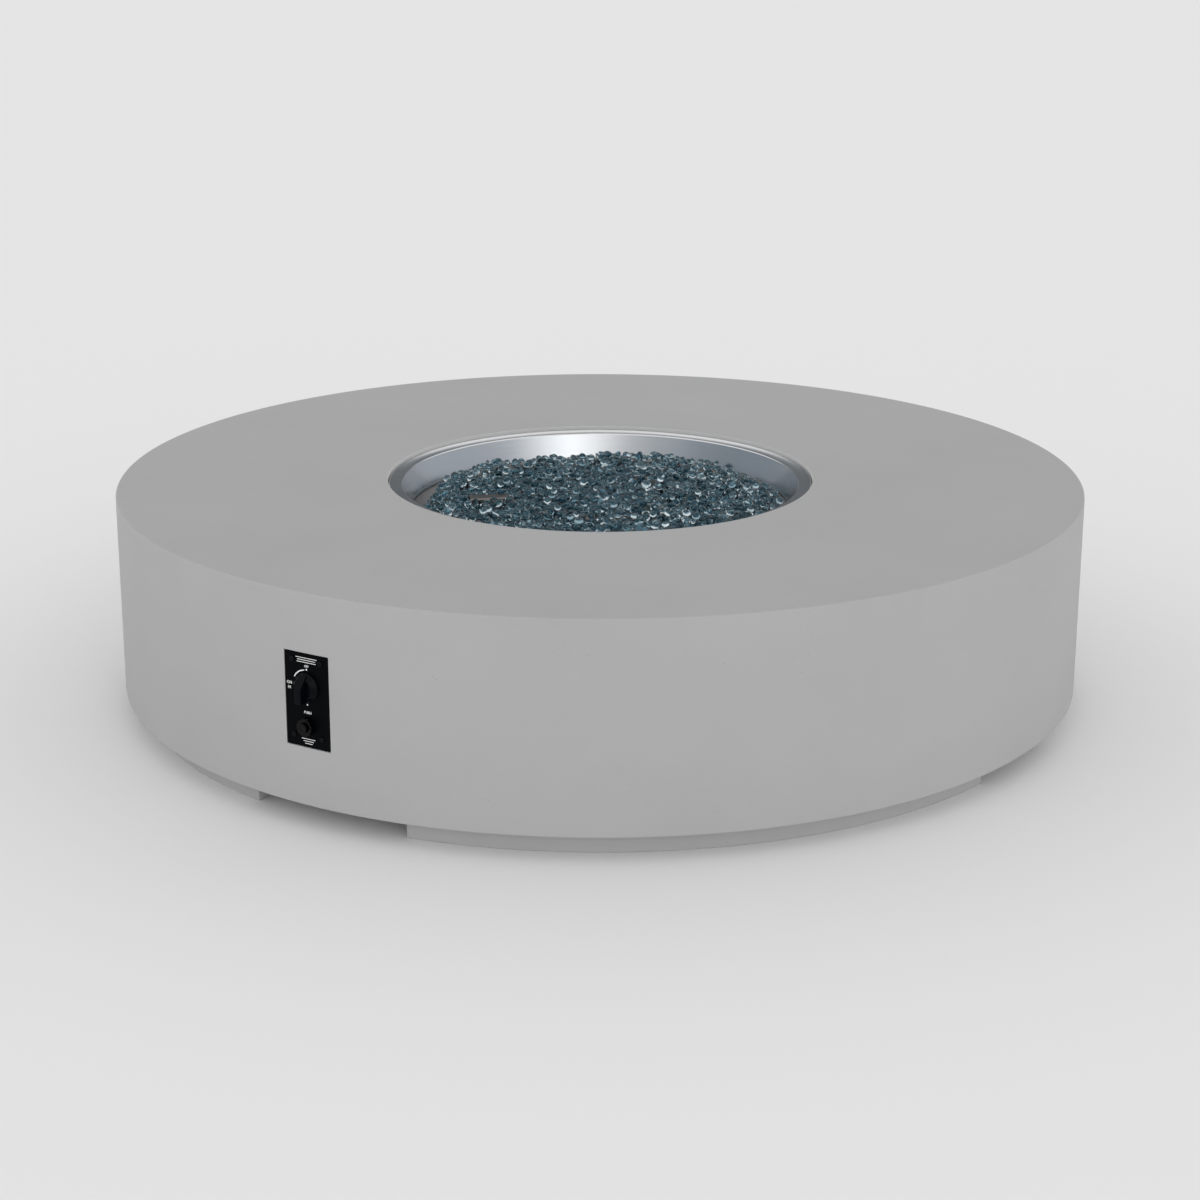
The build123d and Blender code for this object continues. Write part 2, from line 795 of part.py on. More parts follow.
def control_knob():
    """Moulded knob: a coned skirt, a grip that slopes down to its pointing end and a hollow back."""
    place = Plane((0, knob_back, valve_z), x_dir=(1, 0, 0), z_dir=(0, -1, 0))
    up = (Align.CENTER, Align.CENTER, Align.MIN)
    skirt = Cone(knob_radius, knob_top_radius, knob_skirt_height, align=up)
    foot_face = RectangleRounded(knob_grip_width, 2 * knob_radius, knob_edge)
    top_face = RectangleRounded(knob_grip_width - knob_grip_draft, 2 * knob_radius, knob_edge)
    grip = loft([Pos(0, 0, knob_skirt_height / 2) * foot_face, Pos(0, 0, knob_height) * top_face])
    grip &= Cone(knob_radius, knob_radius - knob_grip_draft, knob_height, align=up)
    slope = Polyline((0, knob_slope_start, knob_height), (0, knob_radius, knob_nose_height),
                     (0, knob_radius, knob_height), close=True)
    grip -= extrude(make_face(slope), knob_grip_width, dir=(1, 0, 0), both=True)
    knob = skirt + grip
    knob = fillet(knob.edges().group_by(Axis.Z)[-1], knob_edge)
    knob -= Cylinder(knob_cavity_radius, knob_cavity_depth, align=up)
    shaft = Pos(0, 0, knob_cavity_depth) * Cylinder(stem_radius + running_fit, knob_height, align=up)
    shaft &= Cylinder(knob_radius, knob_height - knob_crown, align=up)
    flat = stem_radius - stem_flat + running_fit
    shaft -= block((-knob_radius, flat, 0), (knob_radius, knob_radius, knob_height))
    return place * (knob - shaft)


def igniter_housing():
    body = bar(igniter_radius, (0, panel_back, igniter_z), (0, igniter_rear, igniter_z))
    body += bar(igniter_neck_radius, (0, neck_front, igniter_z), (0, panel_back, igniter_z))
    body -= bar(cell_radius + bolt_clearance, (0, neck_front, igniter_z),
                (0, igniter_rear - igniter_rear_wall, igniter_z))
    return body + bar(terminal_radius, (0, igniter_rear, igniter_z), (0, terminal_end, igniter_z))


def igniter_bezel():
    bezel = bar(bezel_radius, (0, panel_face, igniter_z), (0, bezel_front, igniter_z))
    bezel = fillet(bezel.edges().group_by(Axis.Y)[0], bezel_lip / 2)
    bezel -= bar(igniter_neck_radius + slip_fit, (0, panel_face, igniter_z), (0, lip_inside, igniter_z))
    bezel -= bar(button_radius + seat_gap, (0, lip_inside, igniter_z), (0, bezel_front, igniter_z))
    flutes = []
    for i in range(bezel_lobe_count):
        angle = math.radians(360 / bezel_lobe_count * i)
        reach = bezel_radius + bezel_lobe_radius - bezel_lobe_depth
        x = reach * math.cos(angle)
        z = igniter_z + reach * math.sin(angle)
        flutes.append(bar(bezel_lobe_radius, (x, panel_face - bezel_lip, z), (x, bezel_front, z)))
    return bezel - flutes


def igniter_button():
    cap = bar(button_radius, (0, button_front, igniter_z), (0, button_flange_front, igniter_z))
    cap = fillet(cap.edges().group_by(Axis.Y)[0], button_dish_depth)
    dish_radius = button_radius * button_radius / (2 * button_dish_depth)
    cap -= Pos(0, button_front - dish_radius + button_dish_depth / 2, igniter_z) * Sphere(dish_radius)
    cap += bar(button_flange_radius, (0, button_flange_front, igniter_z),
               (0, button_flange_rear, igniter_z))
    return cap + bar(button_plunger_radius, (0, button_flange_rear, igniter_z), (0, plunger_end, igniter_z))


def button_spring():
    return spring((0, button_flange_rear, igniter_z), (0, cell_shoulder, igniter_z), button_spring_radius,
                  button_spring_wire, button_spring_turns)


def battery():
    cell = bar(cell_radius, (0, cell_shoulder, igniter_z), (0, cell_rear, igniter_z))
    nub = bar(cell_nub_radius, (0, cell_shoulder - cell_nub_length, igniter_z),
              (0, cell_shoulder, igniter_z))
    return cell + nub


def battery_contact():
    wall = igniter_rear - igniter_rear_wall
    plate = bar(contact_radius, (0, wall - contact_plate, igniter_z), (0, wall, igniter_z))
    return plate + bar(contact_button_radius, (0, cell_rear, igniter_z),
                       (0, wall - contact_plate, igniter_z))


def thermocouple_port():
    """The end of the thermocouple's screw on the valve's right-hand side."""
    return Vector(valve_width / 2 + port_nut_length, outlet_y, valve_z)


def ignition_route():
    """From the igniter's terminal, up past the inlet, along the feed tube and over to the electrode."""
    end = electrode_point(pan_underside - insulator_drop - electrode_drop)
    return [
        Vector(0, terminal_end, igniter_z),
        Vector(0, terminal_end + 15, igniter_z),
        Vector(-30, terminal_end + 30, igniter_z + 22),
        Vector(-38, terminal_end + 40, igniter_z + 68),
        Vector(-28, terminal_end + 55, igniter_z + 110),
        Vector(-ignition_side, clip_places[0] - 40, feed_z),
        Vector(-ignition_side, clip_places[-1] + 70, feed_z),
        Vector(-105, -190, feed_z - 6),
        end + Vector(12, -24, -24),
        end - Vector(0, 0, 18),
        end,
    ]


def thermocouple_route():
    """From the valve's side, up under the feed tube, along it and over to the probe."""
    end = thermocouple_point(pan_underside - thermocouple_drop)
    under = feed_z - thermocouple_under
    return [
        thermocouple_port(),
        thermocouple_port() + Vector(14, 0, 0),
        thermocouple_port() + Vector(26, 24, 18),
        Vector(22, outlet_y + 80, valve_z + 46),
        Vector(0, clip_places[0] - 40, under),
        Vector(0, clip_places[-1] + 70, under),
        Vector(-80, -185, under - 4),
        end + Vector(14, -24, -20),
        end - Vector(0, 0, 16),
        end,
    ]


def lead(points, radius):
    """Lead along its route, with each corner's arc at the lead's own bend or as its two runs allow."""
    bends = []
    for before, corner, after in zip(points, points[1:], points[2:]):
        shorter = min((corner - before).length, (after - corner).length)
        turn = math.radians((corner - before).get_angle(after - corner))
        bends.append(min(lead_bend, 0.45 * shorter / math.tan(turn / 2)))
    path = FilletPolyline(*points, radius=bends)
    cable = along(path, radius)
    share = cable.volume / (math.pi * radius**2 * path.length)
    print(f"lead {path.length:.0f} long, tightest bend {min(bends):.0f}, volume share {share:.4f}")
    return cable


def thermocouple_nut():
    port = thermocouple_port()
    return bar(port_nut_radius, (valve_width / 2, port.Y, port.Z), port)


def lead_clips():
    """Clips round the feed tube, each with one eye beside it and one under it."""
    eyes = [
        (0, feed_z, feed_tube_radius),
        (-ignition_side, feed_z, ignition_lead_radius),
        (0, feed_z - thermocouple_under, thermocouple_lead_radius),
    ]
    clips = []
    for y in clip_places:
        near = y - clip_width / 2
        far = y + clip_width / 2
        clip = Part()
        for x, z, radius in eyes:
            clip += bar(radius + slip_fit + clip_wall, (x, near, z), (x, far, z))
        for x, z, radius in eyes:
            clip -= bar(radius + slip_fit, (x, near, z), (x, far, z))
        clips.append(clip)
    return Compound(clips)


def orifice_fitting():
    return flare_fitting(orifice_seat, orifice_way, orifice_spud_radius, orifice_spud_length,
                         orifice_radius)


pieces = {
    "concrete_shell": concrete_shell(),
    "foot_bolts": foot_bolts(),
    "burner_pan": burner_pan(),
    "burner_ring": burner_ring(),
    "burner_locknut": burner_locknut(),
    "burner_elbow": burner_elbow(),
    "air_mixer": air_mixer(),
    "orifice_fitting": orifice_fitting(),
    "feed_tube": feed_tube(),
    "flare_nuts": flare_nuts(),
    "glass_bed": glass_bed(),
    "pilot_hood": pilot_hood(),
    "electrode_insulator": electrode_insulator(),
    "electrode_rod": electrode_rod(),
    "electrode_nut": probe_nut(electrode_point, insulator_radius),
    "thermocouple_probe": thermocouple_probe(),
    "probe_nut": probe_nut(thermocouple_point, thermocouple_radius),
    "thermocouple_nut": thermocouple_nut(),
    "thermocouple_lead": lead(thermocouple_route(), thermocouple_lead_radius),
    "ignition_lead": lead(ignition_route(), ignition_lead_radius),
    "lead_clips": lead_clips(),
    "control_panel": control_panel(),
    "panel_screws": panel_screws(),
    "wall_anchors": wall_anchors(),
    "valve_body": valve_body(),
    "valve_locknut": valve_locknut(),
    "valve_end_cap": valve_end_cap(),
    "valve_outlet_fitting": valve_outlet_fitting(),
    "inlet_elbow": inlet_elbow(),
    "valve_plug": valve_plug(),
    "valve_stem": valve_stem(),
    "stem_spring": stem_spring(),
    "control_knob": control_knob(),
    "igniter_housing": igniter_housing(),
    "igniter_bezel": igniter_bezel(),
    "igniter_button": igniter_button(),
    "button_spring": button_spring(),
    "battery": battery(),
    "battery_contact": battery_contact(),
}
pieces.update(feet())

os.makedirs("parts", exist_ok=True)
for name, piece in pieces.items():
    export_step(piece, f"parts/{name}.step")
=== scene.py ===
import math
import random

import bmesh
import bpy
from mathutils import Euler, Matrix, Vector


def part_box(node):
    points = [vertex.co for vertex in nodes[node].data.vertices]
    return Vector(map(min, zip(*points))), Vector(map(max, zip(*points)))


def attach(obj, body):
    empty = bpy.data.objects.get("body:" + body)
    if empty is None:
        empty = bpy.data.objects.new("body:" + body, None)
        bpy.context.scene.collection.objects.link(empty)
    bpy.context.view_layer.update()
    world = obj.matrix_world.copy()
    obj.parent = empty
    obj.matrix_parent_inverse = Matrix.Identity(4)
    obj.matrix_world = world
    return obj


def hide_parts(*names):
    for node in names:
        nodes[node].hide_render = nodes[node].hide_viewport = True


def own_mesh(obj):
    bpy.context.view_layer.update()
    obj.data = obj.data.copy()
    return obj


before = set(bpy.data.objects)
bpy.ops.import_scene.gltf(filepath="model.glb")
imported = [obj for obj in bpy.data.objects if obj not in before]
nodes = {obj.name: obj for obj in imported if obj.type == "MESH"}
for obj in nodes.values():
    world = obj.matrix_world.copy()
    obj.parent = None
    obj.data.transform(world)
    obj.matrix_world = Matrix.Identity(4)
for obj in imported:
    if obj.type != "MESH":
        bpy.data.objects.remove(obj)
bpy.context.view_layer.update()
print("frame loaded:", len(nodes), "nodes")


# node helpers for the finishes

def startFinish(name):
    finish = bpy.data.materials.new(name)
    finish.use_nodes = True
    tree = finish.node_tree
    return finish, tree, tree.nodes["Principled BSDF"]


def addNode(tree, kind, links=None, **settings):
    node = tree.nodes.new("ShaderNode" + kind)
    for key, value in settings.items():
        if hasattr(node, key):
            setattr(node, key, value)
        else:
            node.inputs[key.replace("_", " ")].default_value = value
    for socket, source in (links or {}).items():
        tree.links.new(source, node.inputs[socket])
    return node


def objectCoords(tree, scale=None):
    coords = addNode(tree, "TexCoord").outputs["Object"]
    if scale is None:
        return coords
    return addNode(tree, "Mapping", {"Vector": coords}, Scale=scale).outputs["Vector"]


def noise(tree, coords, scale, detail=3.0, rough=0.5):
    return addNode(tree, "TexNoise", {"Vector": coords}, Scale=scale, Detail=detail, Roughness=rough).outputs["Fac"]


def spread(tree, value, low, high, toLow=0.0, toHigh=1.0):
    node = addNode(tree, "MapRange", {"Value": value}, From_Min=low, From_Max=high, To_Min=toLow, To_Max=toHigh)
    return node.outputs["Result"]


def smooth(tree, value, low, high):
    node = addNode(tree, "MapRange", {"Value": value}, interpolation_type="SMOOTHSTEP", From_Min=low, From_Max=high)
    return node.outputs["Result"]


def maths(tree, operation, a, b=None):
    node = addNode(tree, "Math", operation=operation)
    for socket, value in zip(node.inputs, (a, b)):
        if isinstance(value, (int, float)):
            socket.default_value = value
        elif value is not None:
            tree.links.new(value, socket)
    return node.outputs["Value"]


def mixColour(tree, factor, first, second, blend="MIX"):
    node = addNode(tree, "Mix", data_type="RGBA", blend_type=blend)
    for socket, value in zip((node.inputs[0], node.inputs[6], node.inputs[7]), (factor, first, second)):
        if hasattr(value, "is_linked"):
            tree.links.new(value, socket)
        else:
            socket.default_value = value
    return node.outputs[2]


def bump(tree, shader, height, strength, distance):
    node = addNode(tree, "Bump", {"Height": height}, Strength=strength, Distance=distance)
    tree.links.new(node.outputs["Normal"], shader.inputs["Normal"])


def grey(value):
    return (value, value, value, 1.0)


# finishes

def castConcrete():
    look = {"pale": grey(0.392), "dark": grey(0.358), "pit": grey(0.26), "cloudScale": 3.0, "grainScale": 260.0,
            "cloudShare": 0.62, "grainShare": 0.38, "pitScale": 70.0, "pitSize": 0.07, "pitPatch": 21.0, "pitFrom": 0.6,
            "roughness": (0.78, 0.92), "gloss": 0.3, "grainHeight": 0.25, "bump": (0.35, 0.0006),
            "recessLight": grey(0.44), "recessLightFrom": 0.3738, "recessLightTo": 0.3722}
    finish, tree, shader = startFinish("castConcrete")
    coords = objectCoords(tree)
    clouds = noise(tree, coords, look["cloudScale"], 6.0, 0.62)
    grain = noise(tree, coords, look["grainScale"], 4.0, 0.7)
    tone = maths(tree, "ADD", maths(tree, "MULTIPLY", spread(tree, clouds, 0.3, 0.7), look["cloudShare"]),
                 maths(tree, "MULTIPLY", spread(tree, grain, 0.3, 0.7), look["grainShare"]))
    body = mixColour(tree, tone, look["dark"], look["pale"])
    # painted light: the recess wall round the pan and its rounded edge are painted paler than the top, standing in for
    # light that falls into the recess
    flat = addNode(tree, "VectorMath", {0: coords}, operation="MULTIPLY")
    flat.inputs[1].default_value = (1.0, 1.0, 0.0)
    radius = addNode(tree, "VectorMath", {0: flat.outputs["Vector"]}, operation="LENGTH").outputs["Value"]
    body = mixColour(tree, smooth(tree, radius, look["recessLightFrom"], look["recessLightTo"]), body, look["recessLight"])
    # a few air holes, only in some of the cells, each sunk by the bump and darkened with painted shade
    cells = addNode(tree, "TexVoronoi", {"Vector": coords}, Scale=look["pitScale"])
    chosen = maths(tree, "GREATER_THAN", noise(tree, coords, look["pitPatch"], 2.0), look["pitFrom"])
    hole = spread(tree, cells.outputs["Distance"], look["pitSize"], 0.5 * look["pitSize"])
    hole = maths(tree, "MULTIPLY", hole, chosen)
    tree.links.new(mixColour(tree, hole, body, look["pit"]), shader.inputs["Base Color"])
    tree.links.new(spread(tree, grain, 0.3, 0.7, *look["roughness"]), shader.inputs["Roughness"])
    height = maths(tree, "SUBTRACT", maths(tree, "MULTIPLY", grain, look["grainHeight"]), hole)
    bump(tree, shader, height, *look["bump"])
    shader.inputs["Specular IOR Level"].default_value = look["gloss"]
    return finish


def spunSteel():
    look = {"pale": (0.66, 0.67, 0.68, 1.0), "dark": (0.60, 0.61, 0.62, 1.0), "lineScale": 900.0, "lineTurn": 0.004,
            "smearScale": 9.0, "roughness": (0.16, 0.22), "bump": (0.03, 0.0002),
            "floorShade": (0.105, 0.098, 0.101, 1.0), "floorShadeTop": 0.327, "floorShadeEnd": 0.3235,
            "dulled": 0.32, "dullTop": 0.336, "dullEnd": 0.325}
    finish, tree, shader = startFinish("spunSteel")
    # lines that run round the pan: distance from the middle, height and a slow turn
    coords = addNode(tree, "SeparateXYZ", {"Vector": objectCoords(tree)})
    flat = addNode(tree, "CombineXYZ", {"X": coords.outputs["X"], "Y": coords.outputs["Y"]})
    radius = addNode(tree, "VectorMath", {0: flat.outputs["Vector"]}, operation="LENGTH").outputs["Value"]
    turn = maths(tree, "ARCTAN2", coords.outputs["Y"], coords.outputs["X"])
    rings = addNode(tree, "CombineXYZ", {"X": radius, "Y": maths(tree, "MULTIPLY", turn, look["lineTurn"]),
                                         "Z": coords.outputs["Z"]})
    lines = noise(tree, rings.outputs["Vector"], look["lineScale"], 3.0, 0.6)
    smears = noise(tree, objectCoords(tree), look["smearScale"], 4.0, 0.6)
    tone = maths(tree, "MULTIPLY", maths(tree, "ADD", lines, smears), 0.5)
    steel = mixColour(tree, spread(tree, tone, 0.3, 0.7), look["dark"], look["pale"])
    # painted shade: the pan's floor under the glass is painted dark
    floorShadeMask = spread(tree, coords.outputs["Z"], look["floorShadeTop"], look["floorShadeEnd"])
    tree.links.new(mixColour(tree, floorShadeMask, steel, look["floorShade"]), shader.inputs["Base Color"])
    rough = spread(tree, tone, 0.3, 0.7, *look["roughness"])
    dull = maths(tree, "MULTIPLY", smooth(tree, coords.outputs["Z"], look["dullTop"], look["dullEnd"]), look["dulled"])
    tree.links.new(maths(tree, "MAXIMUM", rough, dull), shader.inputs["Roughness"])
    shader.inputs["Metallic"].default_value = 1.0
    bump(tree, shader, lines, *look["bump"])
    return finish


plainLook = {"smearScale": 0.12, "grainScale": 6.0, "smearShare": 0.6, "grainShare": 0.4, "wearScale": 24.0,
             "wearShare": 0.5, "bumpDepth": 0.0002}


def plainMetal(name, pale, dark, roughness, scale=180.0, bumpStrength=0.08):
    finish, tree, shader = startFinish(name)
    coords = objectCoords(tree)
    smears = noise(tree, coords, plainLook["smearScale"] * scale, 4.0, 0.6)
    grain = noise(tree, coords, scale * plainLook["grainScale"], 2.0, 0.6)
    tone = maths(tree, "ADD", maths(tree, "MULTIPLY", smears, plainLook["smearShare"]),
                 maths(tree, "MULTIPLY", grain, plainLook["grainShare"]))
    tree.links.new(mixColour(tree, spread(tree, tone, 0.32, 0.68), dark, pale), shader.inputs["Base Color"])
    tree.links.new(spread(tree, tone, 0.32, 0.68, roughness[1], roughness[0]), shader.inputs["Roughness"])
    shader.inputs["Metallic"].default_value = 1.0
    bump(tree, shader, grain, bumpStrength, plainLook["bumpDepth"])
    return finish


def plainSolid(name, pale, dark, roughness, scale=900.0, bumpStrength=0.15, coat=0.0, gloss=0.5):
    finish, tree, shader = startFinish(name)
    coords = objectCoords(tree)
    wear = noise(tree, coords, plainLook["wearScale"], 4.0, 0.6)
    grain = noise(tree, coords, scale, 3.0, 0.6)
    tone = maths(tree, "MULTIPLY", maths(tree, "ADD", wear, grain), plainLook["wearShare"])
    tree.links.new(mixColour(tree, spread(tree, tone, 0.3, 0.7), dark, pale), shader.inputs["Base Color"])
    tree.links.new(spread(tree, tone, 0.3, 0.7, *roughness), shader.inputs["Roughness"])
    shader.inputs["Coat Weight"].default_value = coat
    shader.inputs["Specular IOR Level"].default_value = gloss
    bump(tree, shader, grain, bumpStrength, plainLook["bumpDepth"])
    return finish


def fireGlass():
    look = {"pale": (0.67, 0.76, 0.79, 1.0), "deep": (0.11, 0.22, 0.28, 1.0), "outline": (0.02, 0.045, 0.06, 1.0),
            "outlineFrom": 0.5, "outlineTo": 0.9, "ior": 1.5, "sheen": 0.36, "sheenTint": (0.36, 0.74, 0.92, 1.0),
            "rippleScale": 230.0, "beadShare": 0.8, "rippleShare": 0.2, "roughness": (0.0, 0.03),
            "bump": (0.16, 0.0006)}
    finish, tree, shader = startFinish("fireGlass")
    tint = addNode(tree, "Attribute", attribute_name="beadTint").outputs["Fac"]
    ripple = noise(tree, objectCoords(tree), look["rippleScale"], 2.0)
    tone = maths(tree, "ADD", maths(tree, "MULTIPLY", tint, look["beadShare"]),
                 maths(tree, "MULTIPLY", ripple, look["rippleShare"]))
    body = mixColour(tree, tone, look["deep"], look["pale"])
    # painted shade: each bead's tint goes dark where the bead is seen edge-on
    rim = addNode(tree, "LayerWeight", Blend=0.5).outputs["Facing"]
    edge = smooth(tree, rim, look["outlineFrom"], look["outlineTo"])
    tree.links.new(mixColour(tree, edge, body, look["outline"]), shader.inputs["Base Color"])
    tree.links.new(spread(tree, ripple, 0.3, 0.7, *look["roughness"]), shader.inputs["Roughness"])
    shader.inputs["Transmission Weight"].default_value = 1.0
    shader.inputs["IOR"].default_value = look["ior"]
    shader.inputs["Specular IOR Level"].default_value = look["sheen"]
    shader.inputs["Specular Tint"].default_value = look["sheenTint"]
    bump(tree, shader, ripple, *look["bump"])
    return finish


finishes = {
    "concrete": castConcrete(),
    "stainless": spunSteel(),
    "fire_glass": fireGlass(),
    "black_coat": plainSolid("blackCoat", (0.0024, 0.0029, 0.0038, 1.0), (0.0013, 0.0016, 0.0021, 1.0), (0.42, 0.55),
                             1400.0, 0.25, gloss=0.03),
    "black_plastic": plainSolid("blackPlastic", (0.0014, 0.0022, 0.0038, 1.0), (0.0010, 0.0013, 0.0020, 1.0),
                                (0.26, 0.38), 1800.0, 0.10, gloss=0.08),
    "zinc_steel": plainMetal("zincSteel", (0.62, 0.63, 0.66, 1.0), (0.44, 0.45, 0.47, 1.0), (0.28, 0.42)),
    "brass": plainMetal("brass", (0.78, 0.58, 0.28, 1.0), (0.60, 0.42, 0.18, 1.0), (0.22, 0.36)),
    "cast_alloy": plainMetal("castAlloy", (0.50, 0.51, 0.52, 1.0), (0.36, 0.37, 0.38, 1.0), (0.42, 0.58), 260.0, 0.3),
    "feed_steel": plainMetal("feedSteel", (0.58, 0.58, 0.58, 1.0), (0.42, 0.42, 0.42, 1.0), (0.3, 0.42)),
    "nylon": plainSolid("nylon", grey(0.030), grey(0.018), (0.4, 0.52)),
    "insulator": plainSolid("insulator", (0.79, 0.78, 0.74, 1.0), (0.71, 0.70, 0.65, 1.0), (0.25, 0.4), 700.0, 0.05,
                            coat=0.3),
    "copper": plainMetal("copper", (0.80, 0.42, 0.28, 1.0), (0.60, 0.28, 0.17, 1.0), (0.25, 0.4)),
    "silicone": plainSolid("silicone", grey(0.045), grey(0.030), (0.5, 0.62)),
    "heated_steel": plainMetal("heatedSteel", (0.19, 0.172, 0.162, 1.0), (0.12, 0.108, 0.102, 1.0), (0.24, 0.34),
                               120.0, 0.10),
    "black_screw": plainSolid("blackScrew", grey(0.002), grey(0.001), (0.07, 0.12), 1600.0, 0.03, gloss=0.15),
    "white_print": plainSolid("whitePrint", grey(0.86), grey(0.78), (0.45, 0.6), 2400.0, 0.05, gloss=0.2),
    "grey_print": plainSolid("greyPrint", grey(0.22), grey(0.18), (0.45, 0.6), 2400.0, 0.05, gloss=0.2),
    "cell_wrap": plainSolid("cellWrap", (0.05, 0.09, 0.20, 1.0), (0.03, 0.06, 0.14, 1.0), (0.3, 0.4), 600.0, 0.04,
                            coat=0.2),
}
hotNodes = ("burner_ring", "pilot_hood", "electrode_rod", "thermocouple_probe")
glossyNodes = ("panel_screws", "igniter_bezel", "igniter_button")
for name, node in nodes.items():
    for slot in node.material_slots:
        slotFinish = "black_screw" if name in glossyNodes else slot.material.name
        slot.material = finishes["heated_steel" if name in hotNodes else slotFinish]
print("finishes set:", len(finishes))


# mesh helpers

def finishPiece(name, bm, slotName, body, replaced=(), sharpAngle=40.0, look=None):
    mesh = bpy.data.meshes.new(name)
    bm.to_mesh(mesh)
    bm.free()
    mesh.polygons.foreach_set("use_smooth", [True] * len(mesh.polygons))
    mesh.set_sharp_from_angle(angle=math.radians(sharpAngle))
    mesh.materials.append(finishes[look or slotName])
    piece = bpy.data.objects.new(name, mesh)
    bpy.context.scene.collection.objects.link(piece)
    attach(piece, body)
    if replaced:
        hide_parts(*replaced)
    return piece


def lathe(points, bends, steps, closed=False, bendSegments=6):
    # line of (radius, height), rounded at its corners and spun once round
    bm = bmesh.new()
    verts = [bm.verts.new((x, 0.0, z)) for x, z in points]
    for near, far in zip(verts, verts[1:] + verts[:1] if closed else verts[1:]):
        bm.edges.new((near, far))
    for vert, bend in zip(verts, bends):
        if bend:
            bmesh.ops.bevel(bm, geom=[vert], offset=bend, affect="VERTICES", segments=bendSegments, profile=0.5,
                            material=-1)
    bmesh.ops.spin(bm, geom=bm.verts[:] + bm.edges[:], cent=(0, 0, 0), axis=(0, 0, 1), angle=2 * math.pi,
                   steps=steps, use_merge=True)
    bmesh.ops.remove_doubles(bm, verts=bm.verts[:], dist=1e-6)
    bmesh.ops.recalc_face_normals(bm, faces=bm.faces[:])
    return bm


def addBlock(bm, low, high):
    middle = [(a + b) / 2 for a, b in zip(low, high)]
    sides = [b - a for a, b in zip(low, high)]
    bmesh.ops.create_cube(bm, size=1.0, matrix=Matrix.Translation(middle) @ Matrix.Diagonal((*sides, 1.0)))


def cutAway(bm, cutter):
    pair = []
    for part in (bm, cutter):
        mesh = bpy.data.meshes.new("cut")
        part.to_mesh(mesh)
        part.free()
        pair.append(bpy.data.objects.new("cut", mesh))
        bpy.context.scene.collection.objects.link(pair[-1])
    cut = pair[0].modifiers.new("cut", "BOOLEAN")
    cut.operation = "DIFFERENCE"
    cut.object = pair[1]
    cut.solver = "EXACT"
    left = bmesh.new()
    left.from_mesh(pair[0].evaluated_get(bpy.context.evaluated_depsgraph_get()).data)
    for part in pair:
        mesh = part.data
        bpy.data.objects.remove(part)
        bpy.data.meshes.remove(mesh)
    return left


# concrete drum, cast in one piece, with the panel's seat and its opening

drum = {
    "line": [(0.838, 0.038), (0.838, 0.381), (0.372, 0.381), (0.372, 0.3675), (0.353, 0.3675), (0.353, 0.341),
             (0.810, 0.341), (0.810, 0.070), (0.745, 0.070), (0.745, 0.038)],
    "bends": [0.003, 0.003, 0.0020, 0, 0, 0.003, 0.012, 0.012, 0.003, 0.003],
    "steps": 288,
    "seat": ((-0.042, -0.842, 0.1335), (0.042, -0.834997, 0.2855)),
    "opening": ((-0.020, -0.842, 0.152), (0.020, -0.782, 0.268)),
}


def makeDrum():
    bm = lathe(drum["line"], drum["bends"], drum["steps"], closed=True)
    for low, high in (drum["seat"], drum["opening"]):
        cutter = bmesh.new()
        addBlock(cutter, low, high)
        bm = cutAway(bm, cutter)
    finishPiece("concreteDrum", bm, "concrete", "root", ("concrete_shell",), sharpAngle=30.0)
    print("drum made")


makeDrum()


# plinth feet, one ring cut by two crossing slots

plinth = {"inner": 0.755, "outer": 0.800, "height": 0.038, "arris": 0.0015, "arrisSegments": 2, "frontSlot": 0.287,
          "sideSlot": 0.220, "steps": 288}


def makeFeet():
    inner, outer, height, arris = plinth["inner"], plinth["outer"], plinth["height"], plinth["arris"]
    for side, x in (("left", -1), ("right", 1)):
        for end, y in (("front", -1), ("rear", 1)):
            bm = lathe([(inner, 0.0), (outer, 0.0), (outer, height), (inner, height)], [arris, arris, 0, 0],
                       plinth["steps"], closed=True)
            for place, normal in (((x * plinth["frontSlot"] / 2, 0, 0), (x, 0, 0)),
                                  ((0, y * plinth["sideSlot"] / 2, 0), (0, y, 0))):
                cut = bmesh.ops.bisect_plane(bm, geom=bm.verts[:] + bm.edges[:] + bm.faces[:], dist=1e-6,
                                             plane_co=place, plane_no=normal, clear_inner=True)
                rim = [item for item in cut["geom_cut"] if isinstance(item, bmesh.types.BMEdge)]
                filled = bmesh.ops.edgeloop_fill(bm, edges=rim)
                ends = {edge for face in filled["faces"] for edge in face.edges}
                bmesh.ops.bevel(bm, geom=list(ends), offset=arris, affect="EDGES", segments=plinth["arrisSegments"],
                                profile=0.5, material=-1)
            bmesh.ops.recalc_face_normals(bm, faces=bm.faces[:])
            finishPiece(f"foot{end.capitalize()}{side.capitalize()}", bm, "concrete", "root", (f"foot_{end}_{side}",),
                        sharpAngle=30.0)
    print("feet made")


makeFeet()


# burner pan, spun from one sheet

burnerPan = {
    "line": [(0.0, 0.323), (0.333, 0.323), (0.348, 0.3714), (0.35925, 0.37181), (0.3705, 0.3755), (0.3705, 0.3675)],
    "bends": [0, 0.0004, 0.00175, 0.0056, 0.0030, 0],
    "sheet": 0.002,
    "steps": 240,
    "stubHole": 0.0108,
    "weepCircle": 0.300, "weepHole": 0.004, "weepCount": 8, "holeSides": 32, "holeDepth": 0.02,
    "probes": {"electrode_insulator": 0.0044, "thermocouple_probe": 0.00315},
}


